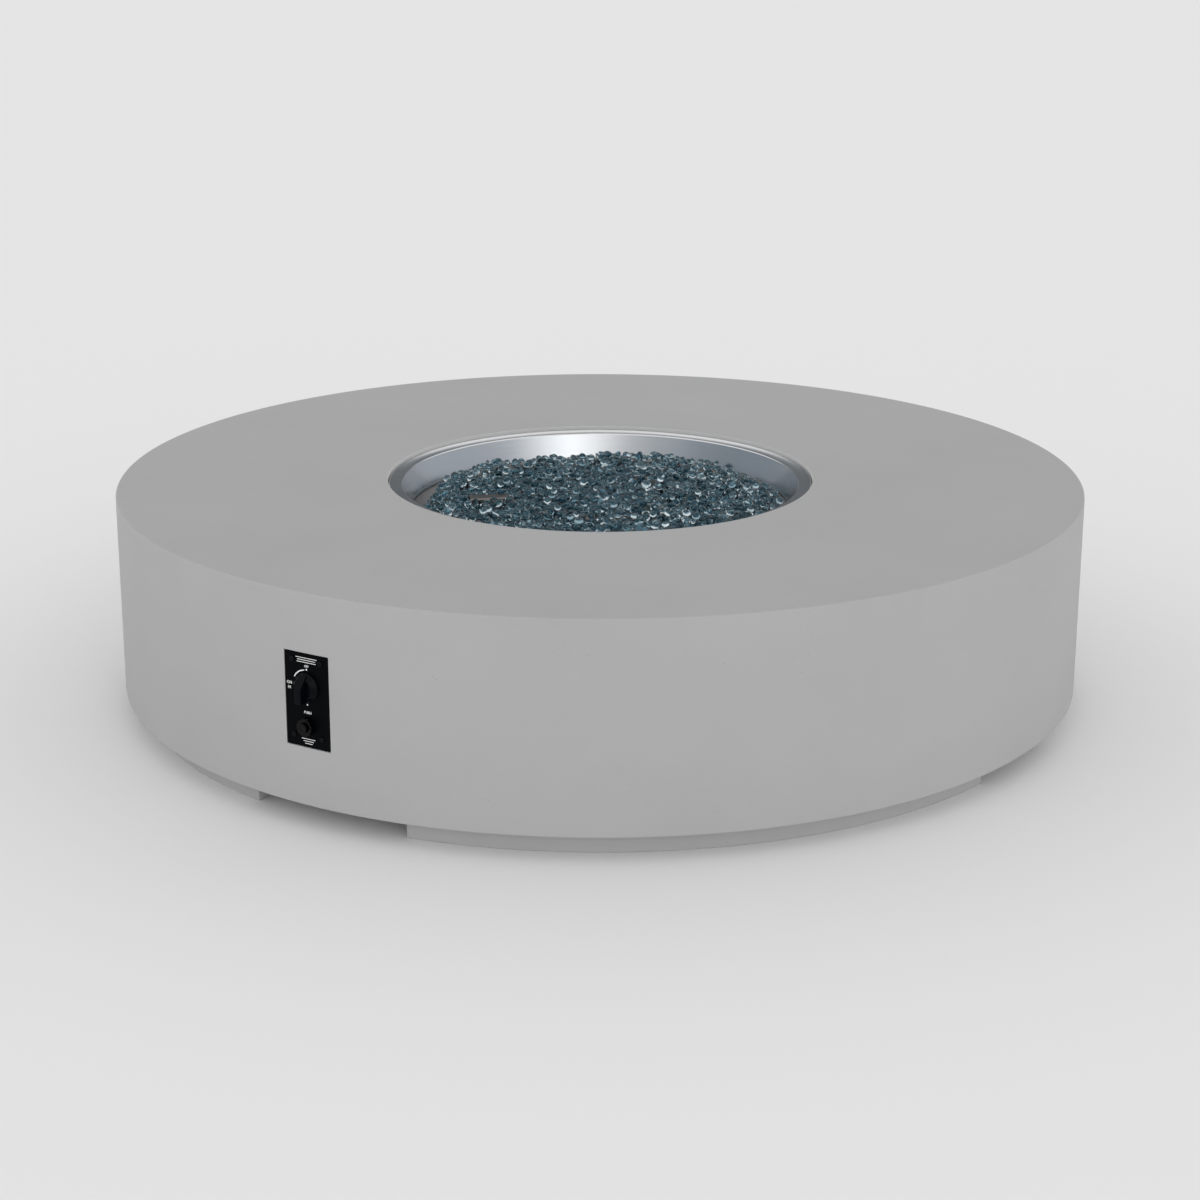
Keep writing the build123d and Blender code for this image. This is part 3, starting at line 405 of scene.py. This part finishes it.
def makePan():
    bm = lathe(burnerPan["line"], burnerPan["bends"], burnerPan["steps"])
    middle = min(bm.faces, key=lambda face: face.calc_center_median().length_squared)
    if middle.normal.z < 0:
        bmesh.ops.reverse_faces(bm, faces=bm.faces[:])
    bmesh.ops.solidify(bm, geom=bm.faces[:], thickness=burnerPan["sheet"])
    holes = bmesh.new()
    spots = [(0, 0, burnerPan["stubHole"])]
    for i in range(burnerPan["weepCount"]):
        angle = 2 * math.pi / burnerPan["weepCount"] * (i + 0.5)
        spots.append((burnerPan["weepCircle"] * math.sin(angle), -burnerPan["weepCircle"] * math.cos(angle),
                      burnerPan["weepHole"]))
    for name, radius in burnerPan["probes"].items():
        low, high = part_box(name)
        spots.append(((low[0] + high[0]) / 2, (low[1] + high[1]) / 2, radius))
    for x, y, radius in spots:
        bmesh.ops.create_cone(holes, cap_ends=True, segments=burnerPan["holeSides"], radius1=radius, radius2=radius,
                              depth=burnerPan["holeDepth"], matrix=Matrix.Translation((x, y, burnerPan["line"][0][1])))
    bm = cutAway(bm, holes)
    finishPiece("burnerPan", bm, "stainless", "root", ("burner_pan",), sharpAngle=50.0)
    print("burner pan made")


makePan()


# fire glass, dropped bead by bead into the pan

glassHeap = {
    "seed": 11,
    "beadRadius": (0.0064, 0.0104), "beadSteps": 2,
    # a bead's length, breadth and thickness over its size, and how far it tips and turns
    "long": (0.98, 1.08), "broad": (0.84, 1.0), "slim": (0.50, 0.80), "tip": 0.5, "turn": 6.28,
    "settle": 0.80,
    "floor": 0.323,
    # the heap's edge round the pan: angle from the front, radius, height
    "edge": [(-180, 0.330, 0.015), (-148, 0.329, 0.016), (-133, 0.321, 0.014), (-110, 0.319, 0.014),
             (-85, 0.316, 0.014), (-62, 0.305, 0.014), (-38, 0.322, 0.014), (-18, 0.330, 0.015), (32, 0.332, 0.017),
             (95, 0.330, 0.014), (122, 0.322, 0.014), (152, 0.325, 0.013), (168, 0.328, 0.015), (180, 0.330, 0.015)],
    "edgeInset": 0.8,
    "crown": 0.038, "crownFall": 0.008,
    "slope": 0.088,
    # extra height over the outer ring: angle from the front, height
    "cover": [(-180, 0.006), (-150, 0.006), (-145, 0.0), (-112, 0.0), (-102, 0.011), (-72, 0.012), (-38, 0.014),
              (-20, 0.006), (180, 0.006)],
    "coverReach": 2.0,
    # some patches of the heap stand higher
    "proud": 0.010, "proudPower": 3, "patch": 0.021,
    "tries": 14, "misses": 900, "missesBack": 3,
    "fineRadius": (0.0048, 0.0064), "fineMisses": 300,
    "sectors": 8,
    "tubes": [(0.270, 0.0095), (0.150, 0.0095)],
    "tubeHeight": 0.0125,
    "spoke": 0.0075,
    "hub": (0.030, 0.023),
    "hoodPlace": (0.197, -47.2),
    "hoodHalf": (0.015, 0.035), "hoodMargin": 0.6, "hoodRoom": 0.030,
}


def heapEdge(angle):
    edge = glassHeap["edge"]
    for (a0, r0, h0), (a1, r1, h1) in zip(edge, edge[1:]):
        if angle <= a1:
            part = (angle - a0) / (a1 - a0)
            return r0 + (r1 - r0) * part, h0 + (h1 - h0) * part
    return edge[-1][1:]


def heapTop(radius, angle):
    edgeRadius, edgeHeight = heapEdge(angle)
    rise = min(1.0, max(0.0, (edgeRadius - radius) / glassHeap["slope"]))
    crown = glassHeap["crown"] - glassHeap["crownFall"] * (radius / edgeRadius) ** 2
    height = edgeHeight + (crown - edgeHeight) * rise
    ring, tube = glassHeap["tubes"][0]
    if abs(radius - ring) < glassHeap["coverReach"] * tube:
        for (a0, h0), (a1, h1) in zip(glassHeap["cover"], glassHeap["cover"][1:]):
            if a0 <= angle <= a1:
                return height + h0 + (h1 - h0) * (angle - a0) / (a1 - a0)
    return height


def restHeight(x, y, size, grid, cell):
    # height of the bead's middle over the pan's floor when it comes to rest
    flat = glassHeap["settle"]
    height = flat * size
    radius = math.hypot(x, y)
    for ring, tube in glassHeap["tubes"]:
        gap = abs(radius - ring)
        if gap < tube + size:
            height = max(height, glassHeap["tubeHeight"] + flat * math.sqrt((tube + size) ** 2 - gap ** 2))
    gap = min(abs(x), abs(y))
    reach = glassHeap["spoke"] + size
    if radius < glassHeap["tubes"][0][0] and gap < reach:
        height = max(height, glassHeap["tubeHeight"] + flat * math.sqrt(reach ** 2 - gap ** 2))
    if radius < glassHeap["hub"][0]:
        height = max(height, glassHeap["hub"][1] + flat * size)
    column, row = int(x // cell), int(y // cell)
    for i in (column - 1, column, column + 1):
        for j in (row - 1, row, row + 1):
            for bx, by, bz, bSize in grid.get((i, j), ()):
                away = (x - bx) ** 2 + (y - by) ** 2
                touch = (size + bSize) ** 2
                if away < touch:
                    height = max(height, bz + flat * math.sqrt(touch - away))
    return height


def overHood(x, y, margin):
    radius, angle = glassHeap["hoodPlace"]
    angle = math.radians(angle)
    out = (math.sin(angle), -math.cos(angle))
    along = x * out[0] + y * out[1] - radius
    across = x * out[1] - y * out[0]
    return abs(along) < glassHeap["hoodHalf"][1] + margin and abs(across) < glassHeap["hoodHalf"][0] + margin


def overBurner(x, y):
    radius = math.hypot(x, y)
    onRing = any(abs(radius - ring) < tube for ring, tube in glassHeap["tubes"])
    onSpoke = radius < glassHeap["tubes"][0][0] and min(abs(x), abs(y)) < glassHeap["spoke"]
    return onRing or onSpoke or radius < glassHeap["hub"][0]


def pourBeads(rng, sizes, patience, beads, grid, lifts, burnerOnly):
    # each bead rolls to the lowest of a few places, until too many find no room
    cell = 2.0 * glassHeap["beadRadius"][1]
    misses = 0
    while misses < patience:
        size = rng.uniform(*sizes)
        best = None
        for attempt in range(glassHeap["tries"]):
            angle = rng.uniform(-180, 180)
            radius = (heapEdge(angle)[0] - glassHeap["edgeInset"] * size) * math.sqrt(rng.random())
            x, y = radius * math.sin(math.radians(angle)), -radius * math.cos(math.radians(angle))
            if overHood(x, y, glassHeap["hoodMargin"] * size) or burnerOnly and not overBurner(x, y):
                continue
            height = restHeight(x, y, size, grid, cell)
            spot = (int(x // glassHeap["patch"]), int(y // glassHeap["patch"]))
            proud = lifts.setdefault(spot, glassHeap["proud"] * rng.random() ** glassHeap["proudPower"])
            if overHood(x, y, glassHeap["hoodRoom"]):
                proud = 0.0
            room = heapTop(radius, angle) + proud - height - glassHeap["settle"] * size
            if room > 0 and (best is None or height < best[2]):
                best = (x, y, height, size)
        if best is None:
            misses += 1
            continue
        misses = max(0, misses - glassHeap["missesBack"])
        beads.append(best)
        grid.setdefault((int(best[0] // cell), int(best[1] // cell)), []).append(best)


def dropBeads():
    rng = random.Random(glassHeap["seed"])
    beads, grid, lifts = [], {}, {}
    pourBeads(rng, glassHeap["beadRadius"], glassHeap["misses"], beads, grid, lifts, False)
    # finer beads close the gaps over the burner's tubes
    pourBeads(rng, glassHeap["fineRadius"], glassHeap["fineMisses"], beads, grid, lifts, True)
    return beads


def makeGlass():
    rng = random.Random(glassHeap["seed"] + 1)
    beads = dropBeads()
    count = glassHeap["sectors"]
    sectors = [[] for i in range(count)]
    for bead in beads:
        turn = math.atan2(bead[0], -bead[1]) / (2 * math.pi) % 1.0
        sectors[int(turn * count)].append(bead)
    for number, sector in enumerate(sectors):
        bm = bmesh.new()
        tint = bm.verts.layers.float.new("beadTint")
        for x, y, height, size in sector:
            slim = rng.uniform(*glassHeap["slim"])
            place = Matrix.Translation((x, y, glassHeap["floor"] + height))
            tip, turn = glassHeap["tip"], glassHeap["turn"]
            tilt = Euler((rng.gauss(0, tip), rng.gauss(0, tip), rng.uniform(0, turn))).to_matrix().to_4x4()
            length, breadth = rng.uniform(*glassHeap["long"]), rng.uniform(*glassHeap["broad"])
            shape = Matrix.Diagonal((size * length, size * breadth, size * slim, 1.0))
            made = bmesh.ops.create_icosphere(bm, subdivisions=glassHeap["beadSteps"], radius=1.0,
                                              matrix=place @ tilt @ shape)
            shade = rng.random()
            for vert in made["verts"]:
                vert[tint] = shade
        finishPiece(f"glassHeap{number + 1}", bm, "fire_glass", "root", ("glass_bed",), sharpAngle=180.0)
    print("fire glass:", len(beads), "beads")


makeGlass()


# return springs behind the knob and the button

returnSprings = {
    "stem_spring": {"name": "stemSpring", "body": "valve_plug", "joint": "knob_push", "travel": 0.0030,
                    "middle": 0.0076, "wire": 0.0006, "turns": 4},
    "button_spring": {"name": "buttonSpring", "body": "root", "joint": "igniter_press", "travel": 0.0033,
                      "middle": 0.0060, "wire": 0.0005, "turns": 5},
}
springSteps = {"round": 32, "wire": 10, "slack": 0.0001}


def makeSprings():
    for node, coil in returnSprings.items():
        low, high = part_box(node)
        length = high[1] - low[1]
        x, z = (low[0] + high[0]) / 2, (low[2] + high[2]) / 2
        steps = coil["turns"] * springSteps["round"]
        bm = bmesh.new()
        bmesh.ops.create_circle(bm, cap_ends=True, segments=springSteps["wire"], radius=coil["wire"],
                                matrix=Matrix.Translation((coil["middle"], 0, 0)))
        bmesh.ops.spin(bm, geom=bm.faces[:], cent=(0, 0, 0), axis=(0, 1, 0), angle=2 * math.pi * coil["turns"],
                       dvec=(0, (length - 2 * coil["wire"]) / steps, 0), steps=steps)
        bmesh.ops.recalc_face_normals(bm, faces=bm.faces[:])
        bmesh.ops.translate(bm, verts=bm.verts[:], vec=(x, low[1] + coil["wire"], z))
        piece = finishPiece(coil["name"], bm, "zinc_steel", coil["body"], (node,), sharpAngle=50.0)
        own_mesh(piece)
    print("return springs wound")


makeSprings()


# white print on the panel, and the knob's pointing dot

panelPrint = {
    "face": -0.837, "ink": 0.00015, "axis": 0.231, "sharpAngle": 30.0,
    "capHeight": 0.72, "bolder": 0.02, "curveSteps": 3, "dotSides": 32, "dotTop": 0.94,
    # words: text, x, height of the base line, size
    "words": [("OFF", 0.0, 0.2626, 0.0034), ("ON", -0.0335, 0.2315, 0.0046), ("HI", -0.0335, 0.2238, 0.0046),
              ("PUSH", 0.0, 0.1884, 0.0042)],
    "dots": [(0.0, 0.259, 0.0015), (0.0, 0.203, 0.0014)],
    "arc": {"inner": 0.0263, "outer": 0.0280, "from": 9.0, "to": 60.0, "steps": 24},
    # plain rules: middle, height, length, width
    "rules": [(0.0, 0.2772, 0.040, 0.0009), (0.0, 0.2737, 0.034, 0.0009), (0.0, 0.2702, 0.036, 0.0009),
              (0.0, 0.1475, 0.026, 0.0009), (0.0, 0.1438, 0.020, 0.0009), (0.0, 0.1401, 0.014, 0.0009)],
    "pointer": {"place": (0.0, -0.8478, 0.2505), "radius": 0.0011, "top": 0.9, "sides": 24, "ink": 0.0003,
                "lean": 35.9},
}


def wordMesh(text, size, ink):
    curve = bpy.data.curves.new("word", "FONT")
    curve.body = text
    curve.size = size / panelPrint["capHeight"]
    curve.align_x = "CENTER"
    curve.extrude = ink / 2
    curve.offset = panelPrint["bolder"] * size
    curve.resolution_u = panelPrint["curveSteps"]
    word = bpy.data.objects.new("word", curve)
    bpy.context.scene.collection.objects.link(word)
    mesh = bpy.data.meshes.new_from_object(word.evaluated_get(bpy.context.evaluated_depsgraph_get()))
    bm = bmesh.new()
    bm.from_mesh(mesh)
    bpy.data.objects.remove(word)
    bpy.data.curves.remove(curve)
    bpy.data.meshes.remove(mesh)
    bmesh.ops.remove_doubles(bm, verts=bm.verts[:], dist=1e-7)
    return bm


def makePrint():
    ink, sharp = panelPrint["ink"], panelPrint["sharpAngle"]
    upright = Matrix.Rotation(math.radians(90), 4, "X")
    for text, x, z, size in panelPrint["words"]:
        bm = wordMesh(text, size, ink)
        bmesh.ops.transform(bm, matrix=Matrix.Translation((x, panelPrint["face"], z)) @ upright, verts=bm.verts[:])
        finishPiece("print" + text.capitalize(), bm, "black_coat", "root", (), sharp, "white_print")
    bm = bmesh.new()
    for x, z, radius in panelPrint["dots"]:
        bmesh.ops.create_cone(bm, cap_ends=True, segments=panelPrint["dotSides"], radius1=radius,
                              radius2=panelPrint["dotTop"] * radius, depth=ink,
                              matrix=Matrix.Translation((x, panelPrint["face"], z)) @ upright)
    for x, z, length, width in panelPrint["rules"]:
        addBlock(bm, (x - length / 2, panelPrint["face"] - ink / 2, z - width / 2),
                 (x + length / 2, panelPrint["face"] + ink / 2, z + width / 2))
    finishPiece("printMarks", bm, "black_coat", "root", (), sharp, "white_print")
    # sweep from OFF round to the left
    arc = panelPrint["arc"]
    bm = bmesh.new()
    inner, outer = arc["inner"], arc["outer"]
    corners = [(inner, -ink / 2), (outer, -ink / 2), (outer, ink / 2), (inner, ink / 2)]
    face = bm.faces.new([bm.verts.new((0, y, radius)) for radius, y in corners])
    start = Matrix.Rotation(math.radians(-arc["from"]), 3, "Y")
    bmesh.ops.rotate(bm, verts=bm.verts[:], cent=(0, 0, 0), matrix=start)
    bmesh.ops.spin(bm, geom=[face], cent=(0, 0, 0), axis=(0, 1, 0), angle=math.radians(arc["from"] - arc["to"]),
                   steps=arc["steps"])
    bmesh.ops.recalc_face_normals(bm, faces=bm.faces[:])
    bmesh.ops.translate(bm, verts=bm.verts[:], vec=(0, panelPrint["face"], panelPrint["axis"]))
    finishPiece("printArc", bm, "black_coat", "root", (), sharp, "white_print")
    pointer = panelPrint["pointer"]
    bm = bmesh.new()
    lean = Matrix.Rotation(math.radians(90 - pointer["lean"]), 4, "X")
    bmesh.ops.create_cone(bm, cap_ends=True, segments=pointer["sides"], radius1=pointer["radius"],
                          radius2=pointer["top"] * pointer["radius"], depth=pointer["ink"],
                          matrix=Matrix.Translation(pointer["place"]) @ lean)
    finishPiece("knobPointer", bm, "black_plastic", "knob", (), sharp, "grey_print")
    print("print made")


makePrint()


# floor, light and camera

studio = {
    "floor": grey(0.825), "floorReach": 45.0, "floorRoughness": 0.9, "backdrop": grey(0.775),
    "horizon": 1.95, "fall": 1.54,
    # what shines sees a dim room, a bright ceiling and one soft window beside the camera
    "roomLeft": (0.26, 0.30, 0.345, 1.0), "roomRight": (0.46, 0.495, 0.54, 1.0), "roomAcross": (-0.3, 0.9),
    "roomFar": (0.125, 0.138, 0.150, 1.0), "roomDepth": (0.72, 0.95), "farSide": -31.8, "throughGlass": 0.5,
    "ceiling": grey(1.05), "ceilingFrom": 0.38, "ceilingTo": 0.57,
    "window": grey(1.02), "windowFall": 11.0, "windowCore": grey(6.0), "windowMiddle": 3.5,
    "keyAzimuth": 50.0, "keyElevation": 18.0, "keyStrength": 0.22, "keyAngle": 24.0, "keyDistance": 3.0,
}


def aimFrom(azimuth, elevation):
    # way from the middle to a thing at this angle from the front and this height
    azimuth, elevation = math.radians(azimuth), math.radians(elevation)
    level = math.cos(elevation)
    return Vector((math.sin(azimuth) * level, -math.cos(azimuth) * level, math.sin(elevation)))


def setStudio():
    world = bpy.data.worlds.new("studio")
    bpy.context.scene.world = world
    world.use_nodes = True
    tree = world.node_tree
    back = tree.nodes["Background"]
    # soft light that is strongest at the horizon
    aim = addNode(tree, "TexCoord").outputs["Generated"]
    way = addNode(tree, "SeparateXYZ", {"Vector": aim})
    rise = way.outputs["Z"]
    soft = spread(tree, rise, 0.0, 1.0, studio["horizon"], studio["horizon"] - studio["fall"])
    far = math.radians(studio["farSide"])
    depth = maths(tree, "ADD", maths(tree, "MULTIPLY", way.outputs["X"], math.sin(far)),
                  maths(tree, "MULTIPLY", way.outputs["Y"], math.cos(far)))
    across = maths(tree, "SUBTRACT", maths(tree, "MULTIPLY", way.outputs["X"], math.cos(far)),
                   maths(tree, "MULTIPLY", way.outputs["Y"], math.sin(far)))
    path = addNode(tree, "LightPath")
    through = spread(tree, path.outputs["Is Transmission Ray"], 0.0, 1.0, 1.0, studio["throughGlass"])
    room = mixColour(tree, spread(tree, across, *studio["roomAcross"]), studio["roomLeft"], studio["roomRight"])
    room = mixColour(tree, spread(tree, depth, *studio["roomDepth"]), room, studio["roomFar"])
    room = mixColour(tree, 1.0, room, through, "MULTIPLY")
    room = mixColour(tree, smooth(tree, rise, studio["ceilingFrom"], studio["ceilingTo"]), room, studio["ceiling"])
    toKey = aimFrom(studio["keyAzimuth"], studio["keyElevation"])
    facing = addNode(tree, "VectorMath", {0: aim}, operation="DOT_PRODUCT")
    facing.inputs[1].default_value = toKey
    bell = maths(tree, "POWER", maths(tree, "MAXIMUM", facing.outputs["Value"], 0.0), studio["windowFall"])
    room = mixColour(tree, bell, room, studio["window"], "ADD")
    middle = math.cos(math.radians(studio["windowMiddle"]))
    room = mixColour(tree, smooth(tree, facing.outputs["Value"], middle, 1.0), room, studio["windowCore"], "ADD")
    shiny = maths(tree, "MAXIMUM", path.outputs["Is Glossy Ray"], path.outputs["Is Transmission Ray"])
    shiny = maths(tree, "MULTIPLY", shiny, maths(tree, "LESS_THAN", path.outputs["Diffuse Depth"], 0.5))
    lit = mixColour(tree, shiny, soft, room)
    tree.links.new(mixColour(tree, path.outputs["Is Camera Ray"], lit, studio["backdrop"]), back.inputs["Color"])
    back.inputs["Strength"].default_value = 1.0
    bm = bmesh.new()
    bmesh.ops.create_grid(bm, x_segments=1, y_segments=1, size=studio["floorReach"])
    mesh = bpy.data.meshes.new("floor")
    bm.to_mesh(mesh)
    bm.free()
    floor = bpy.data.objects.new("floor", mesh)
    bpy.context.scene.collection.objects.link(floor)
    finish, tree, shader = startFinish("paleFloor")
    shader.inputs["Base Color"].default_value = studio["floor"]
    shader.inputs["Roughness"].default_value = studio["floorRoughness"]
    shader.inputs["Specular IOR Level"].default_value = 0.0
    mesh.materials.append(finish)
    key = bpy.data.lights.new("key", "SUN")
    key.energy = studio["keyStrength"]
    key.angle = math.radians(studio["keyAngle"])
    lamp = bpy.data.objects.new("key", key)
    lamp.location = studio["keyDistance"] * toKey
    lamp.rotation_euler = (-Vector(lamp.location)).to_track_quat("-Z", "Y").to_euler()
    lamp.visible_glossy = False
    lamp.visible_transmission = False
    bpy.context.scene.collection.objects.link(lamp)


view = {"azimuth": 31.9, "elevation": 17.171, "distance": 4.583, "aim": (0.0, 0.0, 0.1503), "lens": 77.09,
        "sensor": 36.0, "roll": 0.107}


def setCamera():
    data = bpy.data.cameras.new("camera")
    data.lens = view["lens"]
    data.sensor_width = view["sensor"]
    camera = bpy.data.objects.new("camera", data)
    away = aimFrom(view["azimuth"], view["elevation"])
    camera.location = Vector(view["aim"]) + view["distance"] * away
    turn = (-away).to_track_quat("-Z", "Y").to_matrix() @ Matrix.Rotation(math.radians(view["roll"]), 3, "Z")
    camera.rotation_euler = turn.to_euler()
    bpy.context.scene.collection.objects.link(camera)
    bpy.context.scene.camera = camera


setStudio()
setCamera()
bpy.context.scene.view_settings.view_transform = "Standard"
print("studio and camera set")
